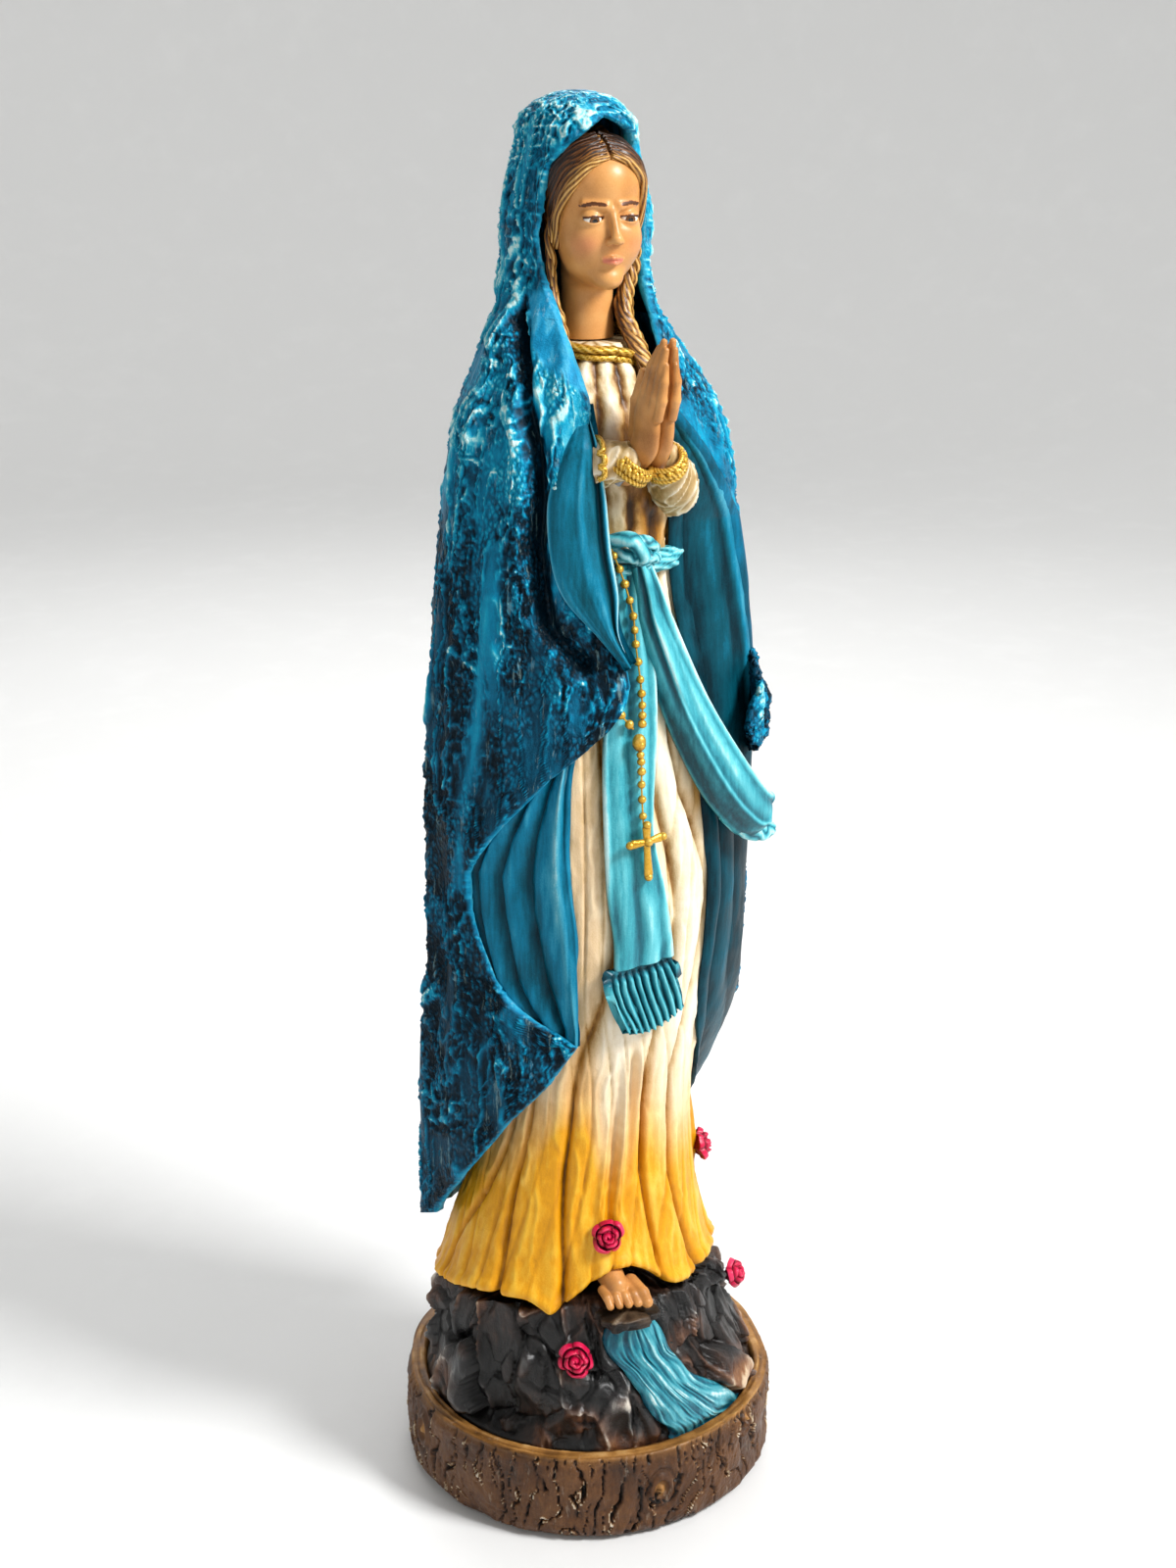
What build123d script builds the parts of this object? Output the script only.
"""Praying Madonna figure in cast, painted resin, standing on a rock mound set in a log-slice base.

Millimetres, +Z up. The origin is the centre of the underside.
The figure faces -Y, so its right hand is at -X.
Each function makes one named piece. Pieces that lie on one another are cut clear of the piece below.
"""

import math
import os

from build123d import *

# ---- driving dimensions ----
TOTAL_HEIGHT = 400.0

FELT_RADIUS, FELT_THICK = 50.0, 1.2
LOG_RADIUS, LOG_TOP = 56.0, 28.0
TRAY_RADIUS, TRAY_FLOOR = 50.0, 22.0
SEAT_HEIGHT = 60.0  # where the figure meets the rocks, on the centre line
SEAT_SLOPE_X, SEAT_SLOPE_Y = -0.08, -0.18  # the seat rises to the front and to the right

WAIST_HEIGHT = 281.0
BELT_HALF_HEIGHT = 5.0
NECK_BASE = 338.0
CHIN_HEIGHT = 354.0
CROWN_HEIGHT = 395.0

SCREW_RADIUS, SCREW_TOP = 2.0, 78.0
SCREW_HEAD_RADIUS, SCREW_HEAD_HEIGHT = 4.0, 3.0
WASHER_RADIUS, WASHER_THICK = 6.5, 1.0
COUNTERBORE_RADIUS, COUNTERBORE_TOP = 7.5, 9.0
HOLE_CLEARANCE = 0.3
DOWEL_RADIUS, DOWEL_LENGTH, DOWEL_OFFSET = 2.5, 20.0, 18.0
PIN_RADIUS = 1.2

MANTLE_WALL = 3.0
LAYER_GAP = 0.3
LAYER_WALL = 2.2
SASH_WALL = 2.0
BEAD_RADIUS, BEAD_PITCH = 1.15, 3.6
ROSE_RADIUS = 5.2

FAR = 90.0  # beyond every side of the object, for cutting blocks

# ---- body sections: height, centre x, centre y, half width, half depth ----
GOWN = [
    (50.0, -4.0, 0.0, 43.0, 38.5),
    (72.0, -4.0, 0.0, 39.0, 36.0),
    (95.0, -3.0, -2.0, 33.0, 31.0),
    (122.0, -1.0, -5.0, 28.0, 26.0),
    (153.0, 0.0, -7.0, 29.0, 25.5),
    (188.0, 2.0, -8.0, 31.5, 26.0),
    (220.0, 1.0, -7.0, 29.0, 24.0),
    (252.0, 0.0, -5.0, 25.0, 20.5),
    (WAIST_HEIGHT, 0.0, -4.0, 21.0, 17.0),
    (300.0, 0.0, -4.0, 22.0, 17.5),
    (318.0, 0.0, -3.0, 22.5, 16.5),
    (331.0, 0.0, -2.0, 17.0, 12.5),
    (NECK_BASE, 0.0, -2.0, 10.0, 8.5),
]
MANTLE = [
    (62.0, 0.0, 4.0, 50.0, 44.0),
    (100.0, 0.0, 4.0, 47.5, 41.5),
    (150.0, 1.0, 3.0, 47.0, 39.5),
    (200.0, 2.0, 2.0, 47.5, 38.0),
    (235.0, 3.0, 2.0, 47.5, 37.0),
    (290.0, 2.0, 2.0, 42.5, 34.0),
    (320.0, 1.0, 2.5, 36.5, 29.0),
    (338.0, -0.5, 4.5, 26.0, 25.0),
    (352.0, -0.5, 7.0, 19.5, 21.0),
    (370.0, -0.5, 6.0, 18.8, 20.0),
    (388.0, -0.5, 5.0, 14.5, 16.5),
    (394.0, -0.5, 5.0, 12.6, 14.3),
    (397.5, -0.5, 5.0, 8.8, 10.0),
    (TOTAL_HEIGHT, -0.5, 5.0, 2.0, 2.5),
]
HEAD = [
    (CHIN_HEIGHT - 0.6, 0.0, -10.5, 3.4, 3.2),
    (358.0, 0.0, -7.5, 8.2, 8.2),
    (364.0, 0.0, -5.5, 11.2, 11.0),
    (372.0, 0.0, -3.5, 12.6, 13.4),
    (381.0, 0.0, -2.5, 12.6, 14.4),
    (389.0, 0.0, -1.5, 10.0, 12.0),
    (393.0, 0.0, -1.0, 6.6, 8.0),
    (CROWN_HEIGHT, 0.0, -1.0, 2.0, 2.4),
]


def section_at(table, z):
    """Centre and half axes of a body table at a height, between its two nearest sections."""
    for low, high in zip(table, table[1:]):
        if low[0] <= z <= high[0]:
            share = (z - low[0]) / (high[0] - low[0])
            return [a + (b - a) * share for a, b in zip(low[1:], high[1:])]
    raise ValueError(f"no section at {z}")


def body(table, low, high, grow=0.0):
    """Smooth solid through a table's sections from one height to another, grown outward by grow."""
    heights = [low] + [row[0] for row in table if low + 2 < row[0] < high - 2] + [high]
    faces = []
    for z in heights:
        cx, cy, a, b = section_at(table, z)
        faces.append(Pos(cx, cy, z) * Ellipse(a + grow, b + grow))
    return loft(faces)


def wall(table, low, high, inner, outer):
    """Closed wall between two growths of a body. The inner one is longer, so that the cut is clean."""
    lowest, highest = table[0][0], table[-1][0]
    core = body(table, max(lowest, low - 3), min(highest, high + 3), inner)
    return body(table, low, high, outer) - core


def front_y(table, x, z, grow=0.0):
    """Y of a body's front surface at x and height z."""
    cx, cy, a, b = section_at(table, z)
    across = (x - cx) / (a + grow)
    return cy - (b + grow) * math.sqrt(1 - across * across)


def prism(points, low, high):
    """Upright prism over a closed outline."""
    return extrude(Pos(0, 0, low) * make_face(Polyline(*points, close=True)), high - low)


def below_plane(point, slope_x, slope_y):
    """Large block under the plane z = point z + slope_x dx + slope_y dy."""
    normal = Vector(-slope_x, -slope_y, 1)
    plane = Plane(origin=point, x_dir=(1, 0, slope_x), z_dir=normal)
    return plane * Pos(0, 0, -2 * FAR) * Box(8 * FAR, 8 * FAR, 4 * FAR)


def largest(shape):
    """The biggest solid of a cut, which drops chips left by it."""
    return max(shape.solids(), key=lambda s: s.volume)


def capsule(start, end, r_start, r_end):
    """Tapered round bar between two points, with ball ends."""
    axis = Vector(*end) - Vector(*start)
    plane = Plane(origin=start, z_dir=axis)
    bar = plane * Pos(0, 0, axis.length / 2) * Cone(r_start, r_end, axis.length)
    return bar + Pos(*start) * Sphere(r_start) + Pos(*end) * Sphere(r_end)


def save(name, shape):
    export_step(shape, os.path.join("parts", name + ".step"))


# ---- base ----
def make_felt_pad():
    return Pos(0, 0, FELT_THICK / 2) * Cylinder(FELT_RADIUS, FELT_THICK)


def make_log_base():
    """Log slice with a shallow tray for the rocks and a counterbored screw hole."""
    height = LOG_TOP - FELT_THICK
    log = Pos(0, 0, FELT_THICK + height / 2) * Cylinder(LOG_RADIUS, height)
    tray_depth = LOG_TOP - TRAY_FLOOR
    tray = Pos(0, 0, TRAY_FLOOR + tray_depth / 2) * Cylinder(TRAY_RADIUS, tray_depth)
    bore = Pos(0, 0, LOG_TOP / 2) * Cylinder(SCREW_RADIUS + HOLE_CLEARANCE, LOG_TOP)
    pocket_depth = COUNTERBORE_TOP - FELT_THICK
    pocket = Pos(0, 0, FELT_THICK + pocket_depth / 2) * Cylinder(COUNTERBORE_RADIUS, pocket_depth)
    return log - tray - bore - pocket


def make_washer():
    ring = Cylinder(WASHER_RADIUS, WASHER_THICK) - Cylinder(SCREW_RADIUS + HOLE_CLEARANCE, WASHER_THICK)
    return Pos(0, 0, COUNTERBORE_TOP - WASHER_THICK / 2) * ring


def make_screw():
    """Pan head screw that pulls the figure down on the mound and the log."""
    head_top = COUNTERBORE_TOP - WASHER_THICK
    head = Pos(0, 0, head_top - SCREW_HEAD_HEIGHT / 2) * Cylinder(SCREW_HEAD_RADIUS, SCREW_HEAD_HEIGHT)
    length = SCREW_TOP - head_top
    shank = Pos(0, 0, head_top + length / 2) * Cylinder(SCREW_RADIUS, length)
    cross_slot = Pos(0, 0, head_top - SCREW_HEAD_HEIGHT + 0.6) * (Box(5, 0.9, 1.2) + Box(0.9, 5, 1.2))
    return head + shank - cross_slot


def make_dowels():
    dowel = Cylinder(DOWEL_RADIUS, DOWEL_LENGTH)
    return [Pos(side * DOWEL_OFFSET, 8, SEAT_HEIGHT) * dowel for side in (-1, 1)]


def seat_block():
    """Everything under the sloping seat of the figure."""
    return below_plane((0, 0, SEAT_HEIGHT), SEAT_SLOPE_X, SEAT_SLOPE_Y)


def make_mound(cutters):
    """Rock mound: round foot in the tray, leaning up to the sloping seat of the figure."""
    foot = TRAY_RADIUS - LAYER_GAP
    rings = [(TRAY_FLOOR, 0, 0, foot), (30, 0, 0, foot - 0.5), (50, -2, 0, 46.5), (72, -4, -1, 41.0)]
    mound = loft([Pos(x, y, z) * Circle(r) for z, x, y, r in rings]) & seat_block()
    mound -= Pos(0, 0, SEAT_HEIGHT / 2) * Cylinder(SCREW_RADIUS + HOLE_CLEARANCE, 2 * SEAT_HEIGHT)
    for cutter in cutters:
        mound -= cutter
    return mound


def make_ledge():
    """Flat stone under the toes, where the spring rises."""
    return Pos(-11, -42.5, 68.0) * Rot(0, 0, -10) * Box(17, 10, 4.5)


def make_stream():
    """Water that runs from the ledge down to the tray, wider as it falls."""
    levels = [(66, -9, -42.5, 13, 5), (50, -4.5, -46, 17, 5), (38, 4, -46.5, 22, 5), (24, 14, -45, 29, 6)]
    slices = []
    for z, x, y, width, depth in levels:
        heading = math.degrees(math.atan2(x, -y))
        slices.append(Pos(x, y, z) * Rot(0, 0, heading) * Rectangle(width, depth))
    return loft(slices)


def make_rose(x, y, z, turn):
    """Round flower boss with a flat back."""
    back = Pos(0, ROSE_RADIUS + 1.5, 0) * Box(20, 2 * ROSE_RADIUS, 20)
    return Pos(x, y, z) * Rot(0, 0, turn) * Pos(0, -1.0, 0) * (Sphere(ROSE_RADIUS) - back)


# ---- figure ----
def make_foot():
    """Fore part of the right foot with its toes under the raised hem."""
    instep = Pos(-12, -31, 75.0) * Box(12, 12, 7)
    toes = []
    for i in range(5):
        knuckle = (-17.0 + 2.5 * i, -36, 74.6)
        tip = (-17.4 + 2.6 * i, -41.5 - 0.8 * i, 71.6)
        toes.append(capsule(knuckle, tip, 1.5, 1.25))
    return instep, toes


def sash_ribbon(low, high, left, right):
    """Strip of sash lying on the front of the gown."""
    strip = wall(GOWN, low, high, LAYER_GAP, LAYER_GAP + SASH_WALL)
    return largest(strip & prism([(left, -FAR), (right, -FAR), (right, -8), (left, -8)], low - 1, high + 1))


def make_side_tail():
    """Second end of the sash, swept out to the left and held by the gown."""
    spine = [(9, -27, 268), (14.5, -32, 245), (23, -35, 226), (32, -34.5, 213), (42, -29, 204)]
    widths = [7, 10, 13, 13, 11]
    faces = []
    for i, (point, width) in enumerate(zip(spine, widths)):
        before, after = spine[max(0, i - 1)], spine[min(len(spine) - 1, i + 1)]
        plane = Plane(origin=point, x_dir=(0.35, -0.6, 0.7), z_dir=Vector(*after) - Vector(*before))
        faces.append(plane * RectangleRounded(width, 2.6, 1.0))
    return loft(faces)


def make_side_fringe():
    return Pos(45.2, -27.0, 201.5) * Rot(0, 25, -25) * Box(5.0, 11, 5.0)


def make_sleeve(side):
    """Forearm and upper arm in one casting, bent at the elbow. side is -1 for the right arm."""
    shoulder, elbow, wrist = (side * 19, 0, 324), (side * 27, -9, 292), (side * 8.5, -28.0, 307)
    return capsule(shoulder, elbow, 7.5, 8.0) + capsule(elbow, wrist, 8.0, 5.2)


def wrist_plane(side):
    return Plane(origin=(side * 5.2, -31.2, 310.0), z_dir=(-side * 0.42, -0.45, 0.78))


def make_cuff(side):
    return wrist_plane(side) * (Cylinder(5.8, 3.2) - Cylinder(3.4, 3.2))


def make_hand(side):
    """Flat palm and fingers, pressed against the other hand on the centre plane."""
    levels = [
        (310, -31.5, 4.6, 2.9),
        (320, -33.5, 6.0, 2.5),
        (330, -36.5, 5.6, 2.2),
        (338, -39.0, 4.4, 1.9),
        (343, -40.5, 2.4, 1.3),
    ]
    palm = loft([Pos(side * 2.2, y, z) * Ellipse(thick, depth) for z, y, depth, thick in levels])
    half = Pos(side * (FAR / 2 + 0.1), 0, 320) * Box(FAR, 2 * FAR, 100)
    return largest(palm & half)


def make_head():
    neck = Pos(0, -2.0, 348) * Rot(7, 0, 0) * Cylinder(6.2, 22)
    skull = loft([Pos(cx, cy, z) * Ellipse(a, b) for z, cx, cy, a, b in HEAD])
    nose = Pos(0, -17.2, 370.5) * Rot(12, 0, 0) * Cone(1.9, 0.8, 9)
    return skull + neck + nose


def make_hair_crown(head):
    """Parted hair from the brow to the back of the skull, under the hood."""
    outer = loft([Pos(cx, cy, z) * Ellipse(a + 1.3, b + 1.2) for z, cx, cy, a, b in HEAD[2:-1]])
    face = Pos(0, -FAR / 2 - 6.0, 374) * Rot(90, 0, 0) * extrude(Ellipse(10.8, 15.5), FAR / 2, both=True)
    return largest(outer - head - face)


def make_hair_locks(side):
    """Curled locks that fall from the temple to the chest."""
    spots = [
        (12.2, -8.0, 368),
        (11.8, -8.5, 360),
        (10.8, -9.0, 352),
        (9.8, -11.0, 344),
        (10.8, -14.5, 336),
        (12.0, -17.5, 328),
    ]
    radii = [2.0, 2.2, 2.4, 2.6, 2.4, 1.8]
    bars = []
    for (a, b), r1, r2 in zip(zip(spots, spots[1:]), radii, radii[1:]):
        bars.append(capsule((side * a[0], a[1], a[2]), (side * b[0], b[1], b[2]), r1, r2))
    return sum(bars[1:], bars[0])


def make_collar():
    """Gilt band round the neckline of the gown."""
    ring = Pos(0, -2.5, NECK_BASE) * extrude(Ellipse(12.4, 11.0), 2.4, both=True)
    return ring


# ---- mantle ----
HEM_POINT, HEM_SLOPE_X, HEM_SLOPE_Y = (0.0, 0.0, 118.6), 0.669, -1.118
FRONT_GAP = [(-14, -FAR), (-14, -3), (30, -3), (34, -12), (FAR, -26), (FAR, -FAR)]
LOW_FRONT_GAP = [(-20, -FAR), (-20, -3), (30, -3), (34, -12), (FAR, -26), (FAR, -FAR)]


def make_mantle_shell():
    """Hood, shoulders and back of the cloak: one wall, open in front, with a sloping hem."""
    shell = wall(MANTLE, MANTLE[0][0], 394.0, -MANTLE_WALL, 0.0)
    cap = body(MANTLE, 394.0, TOTAL_HEIGHT)
    shell = shell + cap
    shell -= prism(FRONT_GAP, 200, 346)
    shell -= prism(LOW_FRONT_GAP, 40, 200)
    face_gap = Pos(0, -FAR / 2 - 8.5, 367) * Rot(90, 0, 0) * extrude(Ellipse(13.2, 24.0), FAR / 2, both=True)
    shell -= face_gap
    shell -= below_plane(HEM_POINT, HEM_SLOPE_X, HEM_SLOPE_Y)
    return largest(shell)


def mantle_layer(low, high, inner, outline, cutters):
    """Fold of cloak lying outside the shell: a wall kept inside an outline and trimmed by cutters."""
    layer = wall(MANTLE, low, high, inner, inner + LAYER_WALL) & prism(outline, low - 1, high + 1)
    for cutter in cutters:
        layer -= cutter
    return largest(layer)


def make_side_flap():
    """Turned back corner that shows the lining on the right side."""
    outline = [(-FAR, -2), (-FAR, -FAR), (-21, -FAR), (-21, -2)]
    low_edge = below_plane((-30, -20, 150), 1.6, 0.9)
    return mantle_layer(125, 226, LAYER_GAP, outline, [low_edge])


def make_swag():
    """Front of the cloak, gathered up over the right forearm, with a slanting hem."""
    outline = [(-FAR, 6), (-FAR, -FAR), (-7, -FAR), (-7, -10), (-20, 6)]
    low_edge = below_plane((-8, -30, 236), 1.35, -0.35)
    return mantle_layer(185, 262, 2 * LAYER_GAP + LAYER_WALL, outline, [low_edge])


def make_arm_fold():
    """Tongue of lining that hangs over the right forearm."""
    levels = [
        (304, -20, -30, 7.0, 2.6),
        (290, -19, -34.5, 9.5, 3.0),
        (274, -17, -37.0, 9.5, 3.0),
        (262, -14.5, -38, 6.5, 2.6),
        (256, -13, -38, 2.5, 1.6),
    ]
    return loft([Pos(x, y, z) * Rot(0, 0, -28) * Ellipse(a, b) for z, x, y, a, b in levels])


def make_left_turnback():
    """Rolled front edge of the cloak on the left side."""
    levels = [
        (304, 37.0, -14, 4.5, 2.2),
        (285, 41.5, -16, 5.5, 2.2),
        (262, 44.5, -17, 5.5, 2.2),
        (240, 45.5, -18, 4.8, 2.4),
        (226, 44.5, -19, 4.5, 3.2),
    ]
    return loft([Pos(x, y, z) * Rot(0, 0, 50) * Ellipse(a, b) for z, x, y, a, b in levels])


# ---- rosary ----
def bead_row(start, end, grow, count):
    """Beads in line on the front of the gown, from one (x, z) to another."""
    beads = []
    for i in range(count):
        share = i / max(1, count - 1)
        x = start[0] + (end[0] - start[0]) * share
        z = start[1] + (end[1] - start[1]) * share
        beads.append(Pos(x, front_y(GOWN, x, z, grow), z) * Sphere(BEAD_RADIUS))
    return beads


def make_cross(x, z, grow):
    y = front_y(GOWN, x, z, grow) + 0.2
    upright = Box(1.8, 1.2, 9.0)
    arms = Pos(0, 0, 1.2) * Box(6.6, 1.2, 1.8)
    return Pos(x, y, z) * Rot(0, -6, 0) * (upright + arms)


def main():
    os.makedirs("parts", exist_ok=True)

    gown_skirt = body(GOWN, GOWN[0][0], WAIST_HEIGHT) - seat_block()
    gown_bodice = body(GOWN, WAIST_HEIGHT, NECK_BASE)
    dowels = make_dowels()
    screw = make_screw()
    heel, toes = make_foot()
    foot = largest(sum(toes, heel))
    ledge = make_ledge()
    stream = make_stream() - ledge
    roses = {
        "gown_rose_front": make_rose(-12.5, front_y(GOWN, -12.5, 91) - 1.5, 91, -18),
        "gown_rose_side": make_rose(29.5, -7.0, 97, 82),
        "rock_rose_front": make_rose(-27.5, -38.5, 58, -36),
        "rock_rose_side": make_rose(34.5, -26.0, 58, 53),
    }
    belt = wall(GOWN, WAIST_HEIGHT - BELT_HALF_HEIGHT, WAIST_HEIGHT + BELT_HALF_HEIGHT, 0.0, 2.2)
    for piece in [screw, *dowels]:
        gown_skirt -= piece
    gown_skirt = largest(gown_skirt - foot)
    belt = largest(belt - gown_skirt - gown_bodice)

    log_base = make_log_base()
    mound = make_mound([*dowels, foot, ledge, stream])
    mound = largest(mound - gown_skirt)
    ledge = largest(ledge - gown_skirt - foot)
    stream = largest(stream - log_base)
    for name in roses:
        roses[name] = largest(roses[name] - gown_skirt - mound - log_base)

    save("felt_pad", make_felt_pad())
    save("log_base", log_base)
    save("screw_washer", make_washer())
    save("figure_screw", screw)
    save("locating_dowels", Compound(children=dowels))
    save("rock_mound", mound)
    save("spring_ledge", ledge)
    save("water_stream", stream)
    for name, rose in roses.items():
        save(name, rose)
    save("right_foot", foot)

    # Sash: belt, knot, a long tail in front and a short one swept to the side.
    knot = Pos(4, front_y(GOWN, 4, 279) - 3.6, 279) * Rot(0, 20, 0) * Sphere(5.4)
    knot = largest(knot - belt - gown_skirt - gown_bodice)
    front_tail = largest(sash_ribbon(170, 277, -9, 7) - gown_skirt - knot - belt)
    front_fringe = largest(sash_ribbon(154, 169.8, -9, 9) - gown_skirt)
    side_tail = largest(make_side_tail() - gown_skirt - front_tail - knot - belt)
    side_fringe = largest(make_side_fringe() - side_tail)

    # Arms and hands.
    arms = {}
    pins = []
    for side, word in ((-1, "right"), (1, "left")):
        hand = make_hand(side)
        cuff = largest(make_cuff(side) & Pos(side * (FAR / 2 + 0.2), 0, 310) * Box(FAR, 2 * FAR, 60))
        pin = wrist_plane(side) * Pos(0, 0, -2) * Cylinder(PIN_RADIUS, 9)
        sleeve = make_sleeve(side) - gown_bodice - cuff - hand - pin
        sleeve = largest(sleeve - gown_skirt - belt)
        cuff = largest(cuff - hand)
        hand = largest(hand - pin)
        pins.append(pin - cuff)
        arms[word + "_hand"], arms[word + "_cuff"], arms[word + "_sleeve"] = hand, cuff, sleeve

    # Head, hair and neckline.
    neck_pin = Pos(0, -2, 340) * Cylinder(2 * PIN_RADIUS, 22)
    head = make_head() - gown_bodice - neck_pin
    head = largest(head)
    gown_bodice = largest(gown_bodice - neck_pin)
    collar = largest(make_collar() - gown_bodice - head)
    crown = make_hair_crown(head)
    locks = {}
    for side, word in ((-1, "right"), (1, "left")):
        lock = make_hair_locks(side) - head - crown - collar - gown_bodice
        for piece in arms.values():
            lock -= piece
        locks["hair_locks_" + word] = largest(lock)

    save("gown_skirt", gown_skirt)
    save("gown_bodice", gown_bodice)
    save("sash_belt", belt)
    save("sash_knot", knot)
    save("sash_front_tail", front_tail)
    save("sash_front_fringe", front_fringe)
    save("sash_side_tail", side_tail)
    save("sash_side_fringe", side_fringe)
    for name, piece in arms.items():
        save(name, piece)
    save("wrist_pins", Compound(children=pins))
    save("neck_pin", neck_pin)
    save("head", head)
    save("hair_crown", crown)
    for name, piece in locks.items():
        save(name, piece)
    save("collar_trim", collar)

    # Mantle: the shell, and the folds that lie outside it.
    shell = make_mantle_shell()
    under = [gown_skirt, gown_bodice, crown, head, *locks.values(), *arms.values(), collar, side_tail]
    for piece in under:
        shell -= piece
    shell = largest(shell)
    flap = make_side_flap()
    swag = make_swag()
    arm_fold = make_arm_fold()
    turnback = make_left_turnback()
    for piece in [gown_skirt, shell, front_tail]:
        flap -= piece
    for piece in [gown_skirt, shell, flap, front_tail, arms["right_sleeve"]]:
        swag -= piece
    flap, swag = largest(flap), largest(swag)
    for piece in [shell, swag, flap, gown_skirt, gown_bodice, belt, knot, front_tail, *arms.values()]:
        arm_fold -= piece
    turnback = largest(turnback - shell - arms["left_sleeve"] - side_tail)
    save("mantle_shell", shell)
    save("mantle_side_flap", flap)
    save("mantle_swag", swag)
    save("mantle_arm_fold", largest(arm_fold))
    save("mantle_left_turnback", turnback)

    # Rosary: a long and a short strand that meet at a centrepiece, then a pendant and a cross.
    lift = LAYER_GAP + SASH_WALL + 0.9 * BEAD_RADIUS
    long_beads = bead_row((-6.0, 272.0), (-2.4, 235.5), lift, 11)
    short_beads = bead_row((-6.6, 239.5), (-4.9, 236.2), lift, 2)
    pendant = bead_row((-3.6, 226.5), (-3.4, 208.0), lift, 6)
    centre = Pos(-3.6, front_y(GOWN, -3.6, 231, lift), 231) * Sphere(1.7)
    cross = make_cross(-3.5, 200.0, lift)
    strands = {
        "rosary_long_strand": long_beads,
        "rosary_short_strand": short_beads,
        "rosary_pendant": pendant,
        "rosary_centrepiece": [centre],
        "rosary_cross": [cross],
    }
    under = [front_tail, gown_skirt, knot, belt, swag, arm_fold]
    for name, beads in strands.items():
        kept = []
        for bead in beads:
            for piece in under:
                bead -= piece
            kept.append(largest(bead))
        save(name, Compound(children=kept))


main()
